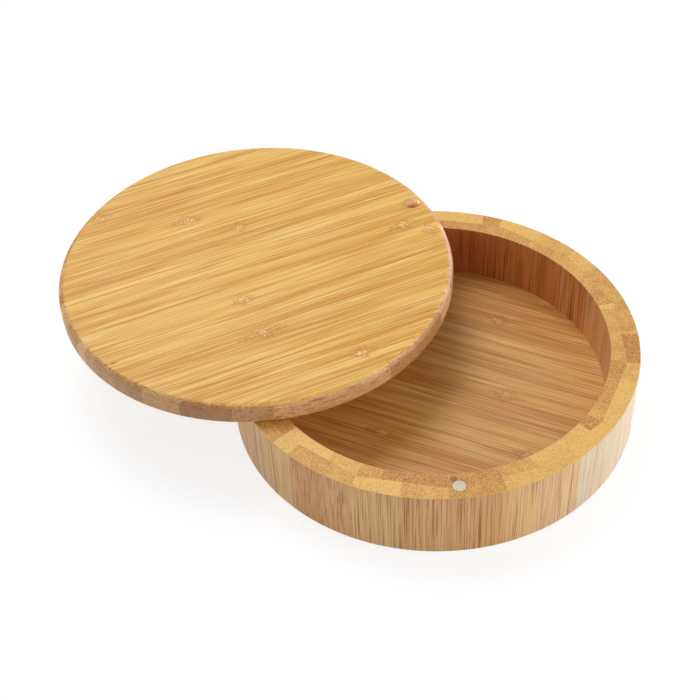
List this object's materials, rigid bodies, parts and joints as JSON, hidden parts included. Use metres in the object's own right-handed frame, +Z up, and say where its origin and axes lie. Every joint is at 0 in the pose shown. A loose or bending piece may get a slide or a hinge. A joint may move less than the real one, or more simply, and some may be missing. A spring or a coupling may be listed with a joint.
{
  "type": "salt box with swivel lid",
  "caption": "Low round bamboo keeper with a thick round lid that swivels sideways on one upright pin in the rim and is held shut by magnets opposite it.",
  "frame": {"origin": "centre of the box's underside, on the surface that it stands on", "axes": "+Z is up. The pin stands at +Y and the rim's magnet at -Y. At rest the lid is swung 65.5 degrees clockwise from above, towards -X, as in the picture."},
  "size_m": [0.2165, 0.1936, 0.0392],
  "materials": {
    "bamboo_wall": "oiled bamboo, end grain up",
    "bamboo_floor": "oiled bamboo strips",
    "bamboo_lid": "oiled bamboo strips, satin",
    "bamboo_button": "oiled bamboo",
    "nickel": "dull nickel plate",
    "steel": "plain steel"
  },
  "bodies": {
    "box": {"outer_ply_01": "bamboo_wall", "outer_ply_02": "bamboo_wall", "outer_ply_03": "bamboo_wall", "outer_ply_04": "bamboo_wall", "outer_ply_05": "bamboo_wall", "outer_ply_06": "bamboo_wall", "outer_ply_07": "bamboo_wall", "outer_ply_08": "bamboo_wall", "outer_ply_09": "bamboo_wall", "outer_ply_10": "bamboo_wall", "outer_ply_11": "bamboo_wall", "outer_ply_12": "bamboo_wall", "outer_ply_13": "bamboo_wall", "outer_ply_14": "bamboo_wall", "inner_ply_01": "bamboo_wall", "inner_ply_02": "bamboo_wall", "inner_ply_03": "bamboo_wall", "inner_ply_04": "bamboo_wall", "inner_ply_05": "bamboo_wall", "inner_ply_06": "bamboo_wall", "inner_ply_07": "bamboo_wall", "inner_ply_08": "bamboo_wall", "inner_ply_09": "bamboo_wall", "inner_ply_10": "bamboo_wall", "inner_ply_11": "bamboo_wall", "inner_ply_12": "bamboo_wall", "inner_ply_13": "bamboo_wall", "inner_ply_14": "bamboo_wall", "floor_panel": "bamboo_floor", "rim_magnet": "nickel", "pivot_pin": "steel"},
    "lid": {"lid_panel": "bamboo_lid", "lid_magnet": "nickel", "pin_button": "bamboo_button"}
  },
  "joints": [
    {"name": "lid_swivel", "type": "hinge", "parent": "box", "child": "lid", "pos_m": [0, 0.07055, 0.0293], "axis": [0, 0, 1], "continuous": true}
  ]
}
